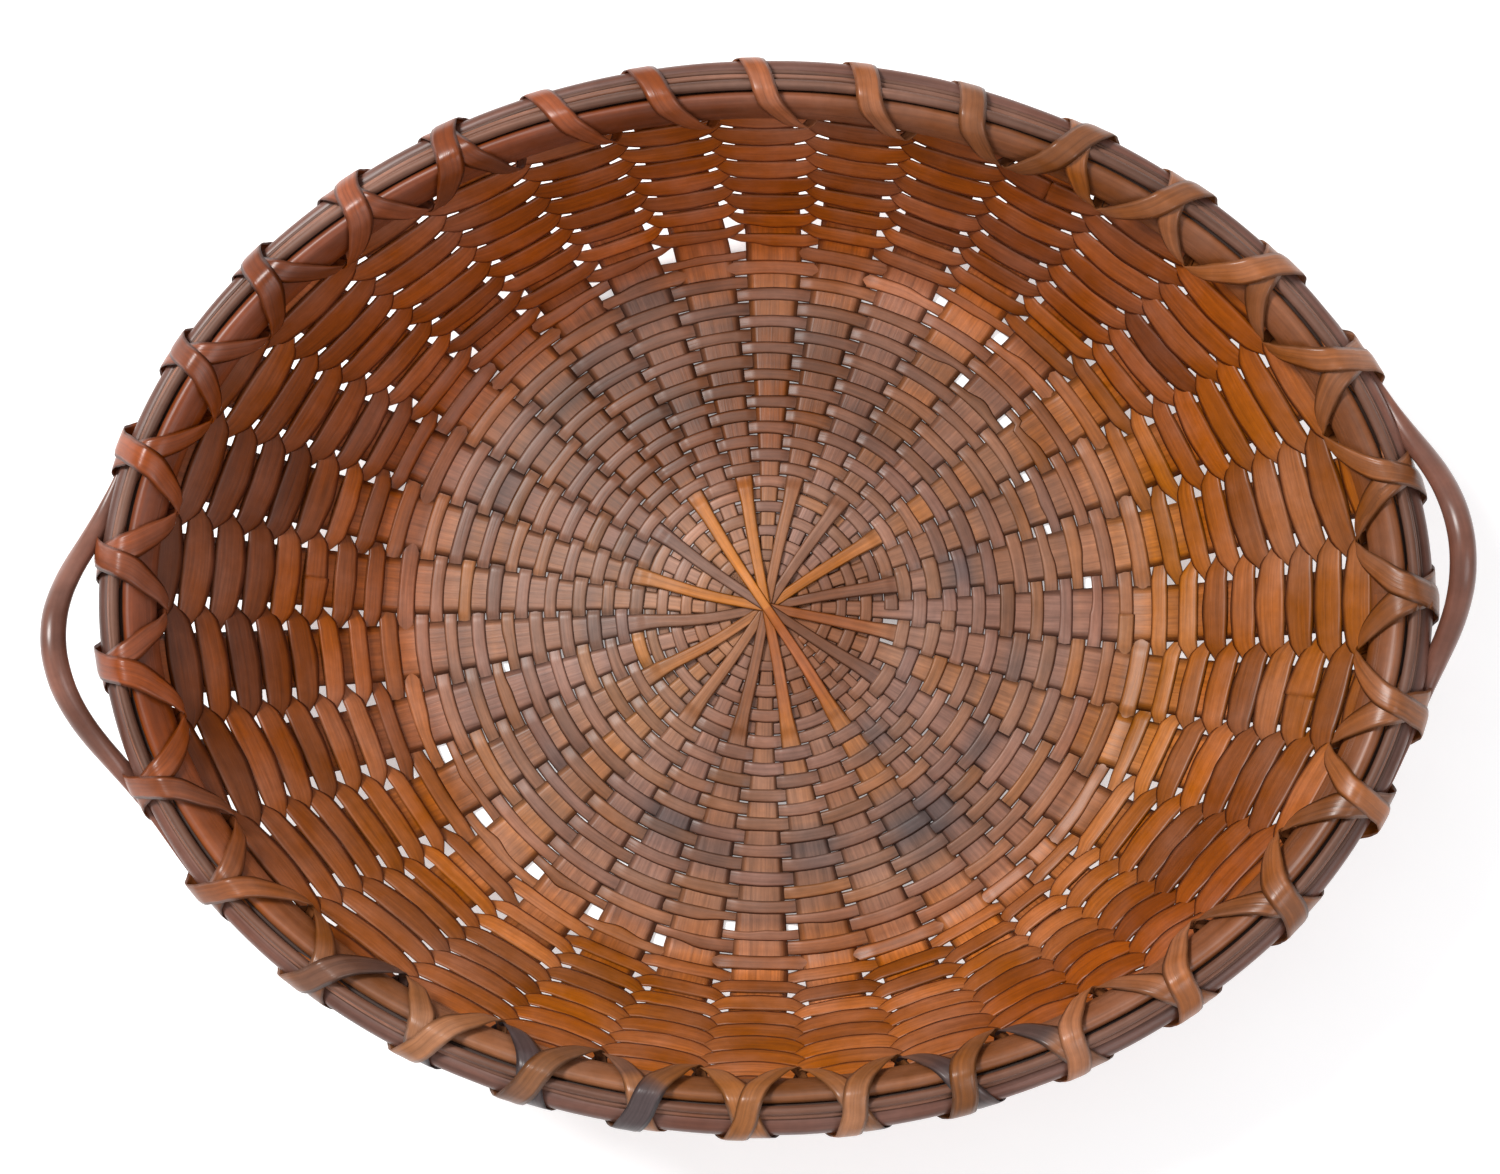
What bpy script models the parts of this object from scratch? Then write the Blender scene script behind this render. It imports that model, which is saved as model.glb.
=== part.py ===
"""Oval splint winnowing basket: crossed splints, a spiral weave, a lashed two-hoop rim and two ear handles.

Metres, +Z up. X is the long axis. The origin is under the middle of the basket, on the ground.
Everything lies on one bowl surface. A place on it is an angle round the basket and a row number, which
counts the weaver's rounds outwards from the middle: 0 is the first round, CORNER_ROW is where the floor
turns up into the wall, WEAVE_TOP_ROW is the last round and RIM_ROW is the splints' upper ends.
"""
import math

import bmesh
import bpy
from mathutils import Vector

MM = 0.001

# The bowl
FOOT_RING = (0.199, 0.191)      # semi-axes of the ring where the floor turns up, along X and Y
RIM_LINE = (0.323, 0.2535)      # semi-axes of the splints' upper ends
RIM_HEIGHT = (0.141, 0.152)     # their height at the ends of the long axis and of the short axis
RIM_SLOPE = (48.0, 70.0)        # the wall's angle to the ground there, in degrees
DOME = 0.008                    # how far the middle of the floor stands above the foot ring
FLAT_BAND = 0.86                # the floor is level from this share of the foot ring's radius outwards
CORNER_PULL = 0.034             # how far the wall's curve runs on level before it rises
RIM_PULL = 0.050                # how far it runs straight down from the rim

# Rows of weave
CORE_RADIUS = 0.021             # the first round
STAR_RADIUS = 0.069             # where the upper splints come down into the weave
STAR_ROW = 7.0
FLAT_ROW = 20.0
CORNER_ROW = 23.0
WEAVE_TOP_ROW = 39.0
RIM_ROW = 42.0
MIDDLE_ROW = -3.0               # the very middle, by this count
HOOP_COVER = 0.027              # splint left bare above the last round, for the hoops and the lashing
BEND_ROWS = (23.6, 24.3, 25.0, 25.8, 26.8, 28.2, 31.0, 35.0, WEAVE_TOP_ROW, RIM_ROW)
FLOOR_ROWS = (MIDDLE_ROW, -1.643, -0.571, 6.85, 7.5, 13.0, FLAT_ROW, CORNER_ROW)

# Splints
SPOKES = 32                     # ends of the 16 splints; even ones belong to the lower layer
STEP = 2 * math.pi / SPOKES
FORKED_SPOKE = 28               # this end is split in two, so that the weave alternates
CORE_HALF_WIDTH = 1.9 * MM
WIDTH_SHARE = 0.24              # half a splint's width, as a share of the way to the next one
TINE_SPREAD = (6.0, 2.8)        # half the angle between the tines, at the first round and from STAR_ROW on
TINE_SHARES = (0.14, 0.21)      # a tine's reach towards the next splint and towards the other tine
THIN = 0.42 * MM                # splint thickness at the crossing
THICK = 0.9 * MM                # splint thickness in the weave
THICKENING_ROWS = (7.5, 12.0)   # where it goes from one to the other
STACK_PITCH = 0.62 * MM         # one layer of the crossing and its gap
STACK_LOWEST = -3.7 * MM
STACK_EDGE_ROW = -1.0           # the splints lie stacked inside this
UPPER_ORDER = (0, 1, 2, 3, 6, 7, 5, 4)  # each upper splint's place in the upper half of the stack
UPPER_LIFT = 2.75 * MM          # the upper layer rides this far above the lower one inside STAR_RADIUS

# Weavers
CORE_SWING = 1.5 * MM           # how far a weaver's middle passes over or under a splint's middle
CORE_WEAVER = 0.6 * MM
SWING = 2.9 * MM
WEAVER = 0.7 * MM
FILL = 0.93                     # weaver width as a share of the row pitch
END_SLIDES = (0.35, 0.30)       # where a length starts and ends, as a share of the way to the next stake
LEVEL_REACH = 0.2               # half of the level stretch under a splint on the foot ring, likewise
CORE_ROUNDS = (0.0, 3.2, 6.35)
FLOOR_ROUNDS = (8.0, 11.0, 14.0, 16.6, 19.2, 21.2, 23.0)
WALL_LENGTHS = 8
LAST_ROUND = 38.5

# Rim, as distances from the splints' upper ends: first inwards across the wall, then up along it
INNER_HOOP = ((0.8, 0.0), (6.3, 0.0), (9.3, -4.0), (9.3, -15.5), (6.3, -19.0), (0.8, -19.0))
OUTER_HOOP = (-7.6, -7.0, 6.9, 8)
WIDE_FILLER = (1.2, 3.6, 3.0, 6)
THIN_FILLER = (-4.6, 2.3, 1.6, 5)
LASHING_PATH = (
    (0.06, 10.3, -20.0, 7.0),
    (0.30, 10.0, 0.3, 10.0),
    (0.38, 3.0, 10.0, 10.0),
    (0.50, -15.5, -1.5, 10.0),
    (0.62, -15.5, -12.7, 10.0),
    (0.94, -1.5, -20.4, 7.0),
)
LASHING = 0.8
LAYER = 1.25                    # how far the second lashing strip lies outside the first
TAIL_ROOM = 4.6                 # how far the lashing swells over a handle's tails
TAIL_MARGINS = (1.2, 0.4)       # degrees left out of that swelling at a tail's root, and added at its tip
OUTER_SIDE = -10.0              # the lashing lies outside the outer hoop beyond this
STRIP_REACH = 0.3 * STEP        # angle over which the rim's direction is taken for the lashing

# Handles: angle from the handle's middle in degrees, place, half thickness and half height
HANDLE_MIDDLE = 3.55
ROD = 6.0
HANDLE_HALF = (
    (0.0, -4.8, 31.0, ROD, ROD),
    (1.4, -6.5, 30.2, ROD, ROD),
    (2.9, -11.0, 27.5, ROD, ROD),
    (4.4, -17.0, 22.0, ROD, ROD),
    (5.8, -21.5, 14.5, ROD, ROD),
    (7.2, -23.9, 6.0, ROD, ROD),
    (8.7, -24.4, -2.0, ROD, ROD),
    (10.0, -22.8, -5.6, ROD, ROD),
    (10.95, -21.0, -7.0, ROD, ROD),
)
TAIL = (
    (2.3, -17.0, -7.0, 2.0, 5.4),
    (3.85, -17.0, -7.0, 2.0, 5.2),
    (8.0, -16.9, -7.0, 1.9, 4.9),
    (15.1, -16.6, -7.0, 1.6, 4.2),
    (17.0, -16.2, -7.0, 1.2, 3.0),
)

COLOURS = {
    "lower": (0.33, 0.19, 0.11),
    "upper": (0.42, 0.24, 0.12),
    "weaver": (0.40, 0.20, 0.09),
    "hoop": (0.24, 0.09, 0.045),
    "filler": (0.30, 0.22, 0.14),
    "lashing": (0.45, 0.23, 0.08),
    "handle": (0.10, 0.05, 0.045),
}


def material(name, colour, roughness):
    made = bpy.data.materials.new(name)
    made.use_nodes = True
    shader = made.node_tree.nodes["Principled BSDF"]
    shader.inputs["Base Color"].default_value = (*colour, 1.0)
    shader.inputs["Roughness"].default_value = roughness
    shader.inputs["Metallic"].default_value = 0.0
    return made


def lerp(a, b, share):
    return a + (b - a) * share


def polar_radius(axes, angle):
    """Distance from the middle to an ellipse with these semi-axes."""
    return 1.0 / math.hypot(math.cos(angle) / axes[0], math.sin(angle) / axes[1])


def by_angle(ends, angle):
    """A value that goes smoothly from the long axis's to the short axis's."""
    return lerp(ends[0], ends[1], math.sin(angle) ** 2)


def floor_point(row, angle):
    ring = polar_radius(FOOT_RING, angle)
    if row < 0:
        radius = CORE_RADIUS * (1 - row / MIDDLE_ROW)
    elif row < STAR_ROW:
        radius = lerp(CORE_RADIUS, STAR_RADIUS, row / STAR_ROW)
    else:
        radius = lerp(STAR_RADIUS, ring, (row - STAR_ROW) / (CORNER_ROW - STAR_ROW))
    level = ring * FLAT_BAND
    lift = DOME * (1 - (radius / level) ** 2) ** 2 if radius < level else 0.0
    return radius, SWING + WEAVER / 2 + lift


def wall_curve(angle, samples=96):
    """The wall's cubic curve from the foot ring to the rim, as points and the length up to each."""
    start = Vector(floor_point(CORNER_ROW, angle))
    end = Vector((polar_radius(RIM_LINE, angle), by_angle(RIM_HEIGHT, angle)))
    slope = math.radians(by_angle(RIM_SLOPE, angle))
    near = start + Vector((CORNER_PULL, 0.0))
    far = end - RIM_PULL * Vector((math.cos(slope), math.sin(slope)))
    points = []
    for i in range(samples + 1):
        t = i / samples
        points.append(
            start * (1 - t) ** 3 + near * 3 * t * (1 - t) ** 2 + far * 3 * t**2 * (1 - t) + end * t**3
        )
    lengths = [0.0]
    for a, b in zip(points, points[1:]):
        lengths.append(lengths[-1] + (b - a).length)
    return points, lengths


def wall_point(row, points, lengths):
    woven = lengths[-1] - HOOP_COVER
    if row <= WEAVE_TOP_ROW:
        along = woven * (row - CORNER_ROW) / (WEAVE_TOP_ROW - CORNER_ROW)
    else:
        along = woven + HOOP_COVER * (row - WEAVE_TOP_ROW) / (RIM_ROW - WEAVE_TOP_ROW)
    i = max(k for k in range(len(points) - 1) if lengths[k] <= along + 1e-12)
    share = (along - lengths[i]) / (lengths[i + 1] - lengths[i])
    return points[i].lerp(points[i + 1], min(1.0, share))


KNOTS = FLOOR_ROWS + BEND_ROWS
PROFILES = {}


def profile(angle):
    """The bowl's section at an angle: a point and a normal at each knot, in radius and height."""
    key = round(angle, 9)
    if key not in PROFILES:
        curve = wall_curve(angle)
        places = [Vector(floor_point(row, angle)) for row in FLOOR_ROWS]
        places += [wall_point(row, *curve) for row in BEND_ROWS]
        runs = [(b - a).normalized() for a, b in zip(places, places[1:])]
        slopes = [runs[0]] + [(a + b).normalized() for a, b in zip(runs, runs[1:])] + [runs[-1]]
        slopes[KNOTS.index(WEAVE_TOP_ROW)] = runs[-1]
        level = KNOTS.index(CORNER_ROW)
        slopes[level] = Vector((1.0, 0.0))
        slopes[KNOTS.index(FLAT_ROW)] = Vector((1.0, 0.0))
        PROFILES[key] = places, [Vector((-s.y, s.x)) for s in slopes]
    return PROFILES[key]


def frame(angle, row):
    """A point of the bowl with the directions up along it and inwards across it."""
    places, normals = profile(angle)
    i = max(k for k in range(len(KNOTS) - 1) if KNOTS[k] <= row)
    share = (row - KNOTS[i]) / (KNOTS[i + 1] - KNOTS[i])
    flat = places[i].lerp(places[i + 1], share)
    across = normals[i].lerp(normals[i + 1], share).normalized()
    out = Vector((math.cos(angle), math.sin(angle), 0.0))
    up = Vector((0.0, 0.0, 1.0))
    point = out * flat.x + up * flat.y
    return point, out * across.y - up * across.x, out * across.x + up * across.y


def add_ring(bm, points):
    return [bm.verts.new(p) for p in points]


def bridge(bm, first, second):
    count = len(first)
    for i in range(count):
        j = (i + 1) % count
        bm.faces.new((first[i], first[j], second[j], second[i]))


def finish(bm, name, colour, roughness, parts):
    """Turn the faces outwards and put the piece in the basket's collection."""
    bmesh.ops.recalc_face_normals(bm, faces=bm.faces)
    mesh = bpy.data.meshes.new(name)
    bm.to_mesh(mesh)
    bm.free()
    mesh.materials.append(material(name, colour, roughness))
    piece = bpy.data.objects.new(name, mesh)
    parts.objects.link(piece)
    return piece


def loft(sections, closed=False):
    """A solid through sections that have the same number of points."""
    bm = bmesh.new()
    rings = [add_ring(bm, points) for points in sections]
    for first, second in zip(rings, rings[1:]):
        bridge(bm, first, second)
    if closed:
        bridge(bm, rings[-1], rings[0])
    else:
        bm.faces.new(rings[0])
        bm.faces.new(rings[-1])
    return bm


# Splints


def splint_thickness(row):
    start, end = THICKENING_ROWS
    return lerp(THIN, THICK, min(1.0, max(0.0, (row - start) / (end - start))))


def strip_section(edges, normals, thickness):
    """Points round a strip's section: along its inner face, then back along its outer face."""
    half = thickness / 2
    inner = [e + n * half for e, n in zip(edges, normals)]
    outer = [e - n * half for e, n in zip(edges, normals)]
    return inner + outer[::-1]


def fork_spread(row):
    """Half the angle between the two tines of the forked end."""
    return math.radians(lerp(*TINE_SPREAD, min(1.0, max(0.0, row / STAR_ROW))))


def stake_angle(stake, row):
    spoke, tine = stake
    return spoke * STEP + tine * fork_spread(row)


def next_stake(stake, way):
    """The stake beside this one: a whole splint's end, or a tine of the forked one."""
    spoke, tine = stake
    if tine == -way:
        return spoke, way
    following = (spoke + way) % SPOKES
    return following, -way if following == FORKED_SPOKE else 0


def stake_edge(stake, row, way, share):
    """A place on the bowl beside a stake, part of the way to the next one, with its normal."""
    angle = stake_angle(stake, row)
    beside = stake_angle(next_stake(stake, way), row)
    beside = angle + math.remainder(beside - angle, 2 * math.pi)
    point, _, across = frame(angle, row)
    other, _, tilted = frame(beside, row)
    return point.lerp(other, share), across.lerp(tilted, share).normalized()


def spoke_section(spoke, row, lift):
    """A splint's section, folded a little at its middle so that it follows the round of the bowl."""
    angle = spoke * STEP
    point, _, across = frame(angle, row)
    side = Vector((-math.sin(angle), math.cos(angle), 0.0))
    wide = math.hypot(point.x, point.y) * STEP * WIDTH_SHARE > CORE_HALF_WIDTH
    edges, normals = [], []
    for way in (-1, 0, 1):
        edge, normal = point + side * way * CORE_HALF_WIDTH, across
        if wide or way == 0:
            edge, normal = stake_edge((spoke % SPOKES, 0), row, way or 1, WIDTH_SHARE * abs(way))
        edges.append(edge + across * lift)
        normals.append(normal)
    return strip_section(edges, normals, splint_thickness(row))


def splint_lift(row, layer, upper):
    """How far a splint lies above the bowl: stacked at the crossing, then settled into its layer."""
    rest = UPPER_LIFT if upper and row < STAR_ROW else 0.0
    return STACK_LOWEST + layer * STACK_PITCH if row < STACK_EDGE_ROW else rest


def spoke_sections(spoke, layer, upper, rows):
    return [spoke_section(spoke, row, splint_lift(row, layer, upper)) for row in rows]


def flip(section):
    """The same section seen from the other end of the splint."""
    half = len(section) // 2
    return section[:half][::-1] + section[half:][::-1]


def make_splint(spoke, layer, upper, name, parts):
    near = spoke_sections(spoke, layer, upper, KNOTS)
    far = spoke_sections(spoke + SPOKES // 2, layer, upper, KNOTS[1:])
    bm = loft([flip(s) for s in far[::-1]] + near)
    colour = COLOURS["upper" if upper else "lower"]
    finish(bm, name, colour, 0.55, parts)


def tine_section(tine, row):
    stake = (FORKED_SPOKE, tine)
    outer_share, inner_share = TINE_SHARES
    pairs = []
    for way in (-1, 1):
        share = outer_share if way == tine else inner_share
        pairs.append(stake_edge(stake, row, way, share))
    return strip_section([p for p, _ in pairs], [n for _, n in pairs], splint_thickness(row))


def make_forked_splint(layer, name, parts):
    far = spoke_sections(FORKED_SPOKE - SPOKES // 2, layer, False, KNOTS[1:])
    near = spoke_sections(FORKED_SPOKE, layer, False, KNOTS[:2])
    bm = bmesh.new()
    rings = [add_ring(bm, s) for s in [flip(s) for s in far[::-1]] + near]
    for first, second in zip(rings, rings[1:]):
        bridge(bm, first, second)
    bm.faces.new(rings[0])
    left, middle, right, right_low, middle_low, left_low = rings[-1]
    roots = {-1: [left, middle, middle_low, left_low], 1: [middle, right, right_low, middle_low]}
    for way, ring in roots.items():
        for row in KNOTS[2:]:
            following = add_ring(bm, tine_section(way, row))
            bridge(bm, ring, following)
            ring = following
        bm.faces.new(ring)
    finish(bm, name, COLOURS["lower"], 0.55, parts)


# Weavers


def stake_list(spokes):
    """Stakes in order round the basket: a spoke and which tine of it, or 0 for a whole splint."""
    stakes = []
    for spoke in spokes:
        ways = (-1, 1) if spoke == FORKED_SPOKE else (0,)
        stakes += [(spoke, way) for way in ways]
    return stakes


CORE_STAKES = stake_list(range(0, SPOKES, 2))
STAKES = stake_list(range(SPOKES))


def weaver_section(count, stakes, slide=0.0):
    """A weaver's section at the stake that it crosses as number count, moved a share of the way on."""
    if slide:
        here, there = weaver_section(count, stakes), weaver_section(count + 1, stakes)
        return [a.lerp(b, slide) for a, b in zip(here, there)]
    row = count / len(stakes)
    angle = stake_angle(stakes[count % len(stakes)], row)
    swing, thickness = (CORE_SWING, CORE_WEAVER) if stakes is CORE_STAKES else (SWING, WEAVER)
    edges, normals = [], []
    for reach in (-FILL / 2, FILL / 2):
        point, _, across = frame(angle, row + reach)
        edges.append(point + across * swing * (1 if count % 2 else -1))
        normals.append(across)
    return strip_section(edges, normals, thickness)


def on_ground(count, stakes):
    """Whether a crossing lies under a splint on the level foot ring, where the basket rests."""
    row = count / len(stakes)
    level = FLAT_ROW + 0.5 <= row <= CORNER_ROW - 0.5
    return stakes is STAKES and count % 2 == 0 and level


def level_pair(count, stakes):
    """Two sections that give a crossing on the ground a level underside."""
    centre = weaver_section(count, stakes)
    height = sum(p.z for p in centre) / 4
    pair = []
    for way in (-1, 1):
        other = weaver_section(count + way, stakes)
        moved = [a.lerp(b, LEVEL_REACH) for a, b in zip(centre, other)]
        for point, level in zip(moved, centre):
            point.z = height + math.copysign(WEAVER / 2, level.z - height)
        pair.append(moved)
    return pair


def make_weaver(first, last, stakes, name, parts):
    """One length of weaver, between two crossings; its ends lie just past the stakes."""
    sections = [weaver_section(first, stakes, END_SLIDES[0])]
    for count in range(first + 1, last + 1):
        if on_ground(count, stakes):
            sections += level_pair(count, stakes)
        else:
            sections.append(weaver_section(count, stakes))
    sections.append(weaver_section(last, stakes, END_SLIDES[1]))
    finish(loft(sections), name, COLOURS["weaver"], 0.5, parts)


def make_weavers(parts):
    step = (LAST_ROUND - CORNER_ROW) / WALL_LENGTHS
    wall_rounds = [CORNER_ROW + i * step for i in range(WALL_LENGTHS + 1)]
    groups = (
        ("core_weaver", CORE_ROUNDS, CORE_STAKES),
        ("floor_weaver", FLOOR_ROUNDS, STAKES),
        ("wall_weaver", wall_rounds, STAKES),
    )
    for name, rounds, stakes in groups:
        counts = [round(r * len(stakes)) for r in rounds]
        for i, (first, last) in enumerate(zip(counts, counts[1:])):
            make_weaver(first, last, stakes, f"{name}_{i + 1}", parts)


# Rim and handles


RIM_ANGLES = [stake_angle(stake, RIM_ROW) for stake in STAKES]


def rim_point(angle, inwards, upwards):
    """A place beside the splints' upper ends. The rim runs straight from one stake to the next."""
    turned = angle % (2 * math.pi)
    i = max(k for k, start in enumerate(RIM_ANGLES) if start <= turned + 1e-9)
    corners = RIM_ANGLES[i], RIM_ANGLES[i + 1] if i + 1 < len(RIM_ANGLES) else 2 * math.pi
    ends = []
    for corner in corners:
        point, along, across = frame(corner, RIM_ROW)
        ends.append(point + across * inwards * MM + along * upwards * MM)
    return ends[0].lerp(ends[1], (turned - corners[0]) / (corners[1] - corners[0]))


def round_section(angle, centre, half_sizes, sides):
    points = []
    for i in range(sides):
        turn = 2 * math.pi * (i + 0.5) / sides
        inwards = centre[0] + half_sizes[0] * math.cos(turn)
        upwards = centre[1] + half_sizes[1] * math.sin(turn)
        points.append(rim_point(angle, inwards, upwards))
    return points


def make_hoops(parts):
    sections = [[rim_point(angle, n, t) for n, t in INNER_HOOP] for angle in RIM_ANGLES]
    finish(loft(sections, closed=True), "inner_hoop", COLOURS["hoop"], 0.4, parts)
    rods = (
        ("outer_hoop", OUTER_HOOP, "hoop"),
        ("wide_filler_rod", WIDE_FILLER, "filler"),
        ("thin_filler_rod", THIN_FILLER, "filler"),
    )
    for name, (inwards, upwards, radius, sides), colour in rods:
        centre, halves = (inwards, upwards), (radius, radius)
        sections = [round_section(angle, centre, halves, sides) for angle in RIM_ANGLES]
        finish(loft(sections, closed=True), name, COLOURS[colour], 0.4, parts)


def tail_sectors():
    """The stretches of rim that carry the handles' tails, in degrees."""
    reach = HANDLE_HALF[-1][0]
    near, far = reach + TAIL_MARGINS[0], reach + TAIL[-1][0] + TAIL_MARGINS[1]
    sectors = []
    for middle in (HANDLE_MIDDLE, HANDLE_MIDDLE + 180.0):
        sectors += [(middle + near, middle + far), (middle - far, middle - near)]
    return sectors


def tail_room(angle):
    """How far the lashing stands out at an angle, to take in a handle's tail."""
    degrees = math.degrees(angle)
    for start, end in tail_sectors():
        for whole in (-360.0, 0.0, 360.0):
            if start <= degrees + whole <= end:
                return TAIL_ROOM
    return 0.0


def make_lashing(way, layer, name, parts):
    """A strip that winds round both hoops once between each pair of splints.

    It runs from a hole below the inner hoop, over the rim to the outer hoop beside a splint, and down
    to the next hole. way is 1 for a strip that advances round the basket as it goes over, or -1.
    """
    centre = sum(n for _, n, _, _ in LASHING_PATH) / len(LASHING_PATH)
    middle = sum(t for _, _, t, _ in LASHING_PATH) / len(LASHING_PATH)
    sections = []
    for hole in range(SPOKES):
        for share, inwards, upwards, width in LASHING_PATH:
            angle = (way * (hole + share) + 0.5) * STEP
            outwards = Vector((inwards - centre, upwards - middle)).normalized()
            ring = []
            for side in (-1, 1):
                for depth in (-side, side):
                    offset = outwards * (layer * LAYER + depth * LASHING / 2)
                    room = tail_room(angle) if inwards < OUTER_SIDE else 0.0
                    place = rim_point(angle, inwards + offset.x - room, upwards + offset.y)
                    before = rim_point(angle - STRIP_REACH, inwards, upwards)
                    after = rim_point(angle + STRIP_REACH, inwards, upwards)
                    ring.append(place + (after - before).normalized() * side * width / 2 * MM)
            sections.append(ring)
    finish(loft(sections, closed=True), name, COLOURS["lashing"], 0.35, parts)


def make_handle(turned, name, parts):
    reach = HANDLE_HALF[-1][0]
    stations = list(HANDLE_HALF)
    stations += [(reach + a, n, t, hn, ht) for a, n, t, hn, ht in TAIL]
    mirrored = [(-a, n, t, hn, ht) for a, n, t, hn, ht in stations[1:]]
    sections = []
    for degrees, inwards, upwards, half_in, half_up in mirrored[::-1] + stations:
        angle = math.radians(turned + HANDLE_MIDDLE + degrees)
        sections.append(round_section(angle, (inwards, upwards), (half_in, half_up), 8))
    finish(loft(sections), name, COLOURS["handle"], 0.3, parts)


def main():
    for old in list(bpy.data.objects):
        bpy.data.objects.remove(old)
    parts = bpy.data.collections.new("winnowing_basket")
    bpy.context.scene.collection.children.link(parts)
    for i in range(SPOKES // 4):
        lower = 2 * i
        if lower == FORKED_SPOKE - SPOKES // 2:
            make_forked_splint(i, f"lower_splint_{i + 1}", parts)
        else:
            make_splint(lower, i, False, f"lower_splint_{i + 1}", parts)
        make_splint(2 * i + 1, SPOKES // 4 + UPPER_ORDER[i], True, f"upper_splint_{i + 1}", parts)
    make_weavers(parts)
    make_hoops(parts)
    make_lashing(1, 0, "lashing_strip_1", parts)
    make_lashing(-1, 1, "lashing_strip_2", parts)
    make_handle(0.0, "right_handle", parts)
    make_handle(180.0, "left_handle", parts)


main()
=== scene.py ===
"""The winnowing basket's look: every splint, weaver, hoop, lashing and handle as its own smooth strip."""
import math

import bpy
import numpy as np
from mathutils import Matrix, Vector


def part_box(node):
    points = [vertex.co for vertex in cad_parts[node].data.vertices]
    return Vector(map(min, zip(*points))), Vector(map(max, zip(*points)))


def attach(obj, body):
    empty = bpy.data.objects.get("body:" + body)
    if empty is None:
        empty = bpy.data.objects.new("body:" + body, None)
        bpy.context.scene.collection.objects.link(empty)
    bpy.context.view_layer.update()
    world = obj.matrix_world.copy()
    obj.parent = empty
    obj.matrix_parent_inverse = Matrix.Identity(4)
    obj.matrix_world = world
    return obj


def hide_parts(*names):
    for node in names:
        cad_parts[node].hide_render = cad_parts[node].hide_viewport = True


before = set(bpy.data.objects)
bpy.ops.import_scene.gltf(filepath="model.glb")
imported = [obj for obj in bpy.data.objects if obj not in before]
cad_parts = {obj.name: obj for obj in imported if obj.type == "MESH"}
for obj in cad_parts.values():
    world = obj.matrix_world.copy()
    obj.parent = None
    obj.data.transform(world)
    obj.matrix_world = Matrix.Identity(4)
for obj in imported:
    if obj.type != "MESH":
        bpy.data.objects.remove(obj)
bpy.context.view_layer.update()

MM = 0.001
SEED = 11
rng = np.random.default_rng(SEED)

# The bowl, with its main sizes taken from the frame. Metres, and degrees of slope at the ends of the long
# and the short axis. A row is one round of the weave: rows count outwards from the core and up the wall.
_, high_x = (c.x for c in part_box("lower_splint_1"))
_, high_y = (c.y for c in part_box("lower_splint_5"))
RIM_LINE = (high_x, high_y)
RIM_HEIGHT = (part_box("lower_splint_1")[1].z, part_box("lower_splint_5")[1].z)
FOOT_RING = (0.199, 0.191)
RIM_SLOPE = (48.0, 70.0)
BASE = 1.9 * MM
DOME = 0.008
FLAT_BAND = 0.86
CORNER_PULL, RIM_PULL = 0.034, 0.050
HOOP_COVER = 0.027
MIDDLE_ROW, STAR_ROW, CORNER_ROW, TOP_ROW, RIM_ROW = -3.0, 7.0, 23.0, 39.0, 42.0
CORE_RADIUS, STAR_RADIUS = 0.021, 0.069
ROW_STEP = 0.25
GRID_ROWS = np.arange(MIDDLE_ROW, RIM_ROW + 1e-6, ROW_STEP)
GRID_ANGLES = np.radians(np.arange(361))

# Two spokes to a splint. One spoke is split into two tines: side of the spoke to share of its width
SPOKES = 32
FORKED = 28
STEP = 2 * math.pi / SPOKES
TINE_SPREAD = math.radians(3.7)
TINE_WIDTHS = {0: 1.0, -1: 0.66, 1: 0.52}
TINE_JOIN = 1.0             # row past the middle where the second tine's strip ends


def smooth(x, low=0.0, high=1.0):
    """From 0 at low to 1 at high, without corners."""
    t = np.clip((x - low) / (high - low), 0.0, 1.0)
    return t * t * (3 - 2 * t)


def polar(axes, angle):
    """Radius of an ellipse at an angle."""
    return 1 / np.hypot(np.cos(angle) / axes[0], np.sin(angle) / axes[1])


def by_angle(ends, angle):
    """From a value at the ends of the long axis to another at the ends of the short one."""
    return ends[0] + (ends[1] - ends[0]) * np.sin(angle) ** 2


def in_degrees(angle):
    return np.degrees(np.mod(angle, 2 * math.pi))


def apart(degrees, middle):
    """Degrees from a place round the basket, the short way."""
    return (degrees - middle + 180) % 360 - 180


def bowl_grid():
    """Radius and height of the bowl on a grid of angles and rows."""
    radii, heights = [], []
    t = np.linspace(0, 1, 97)
    for angle in GRID_ANGLES:
        ring = polar(FOOT_RING, angle)
        radius = np.interp(GRID_ROWS, (MIDDLE_ROW, 0, STAR_ROW, CORNER_ROW),
                           (0, CORE_RADIUS, STAR_RADIUS, ring))
        height = BASE + DOME * np.clip(1 - (radius / (ring * FLAT_BAND)) ** 2, 0, None) ** 2
        end = np.array((polar(RIM_LINE, angle), by_angle(RIM_HEIGHT, angle)))
        slope = math.radians(by_angle(RIM_SLOPE, angle))
        pulls = (np.array((ring, BASE)), np.array((ring + CORNER_PULL, BASE)),
                 end - RIM_PULL * np.array((math.cos(slope), math.sin(slope))), end)
        weights = ((1 - t) ** 3, 3 * t * (1 - t) ** 2, 3 * t * t * (1 - t), t ** 3)
        curve = sum(np.outer(w, p) for w, p in zip(weights, pulls))
        length = np.concatenate(([0], np.cumsum(np.hypot(*np.diff(curve, axis=0).T))))
        along = np.interp(GRID_ROWS, (CORNER_ROW, TOP_ROW, RIM_ROW),
                          (0, length[-1] - HOOP_COVER, length[-1]))
        wall = GRID_ROWS > CORNER_ROW
        radii.append(np.where(wall, np.interp(along, length, curve[:, 0]), radius))
        heights.append(np.where(wall, np.interp(along, length, curve[:, 1]), height))
    return np.array(radii), np.array(heights)


GRID_R, GRID_Z = bowl_grid()


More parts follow.
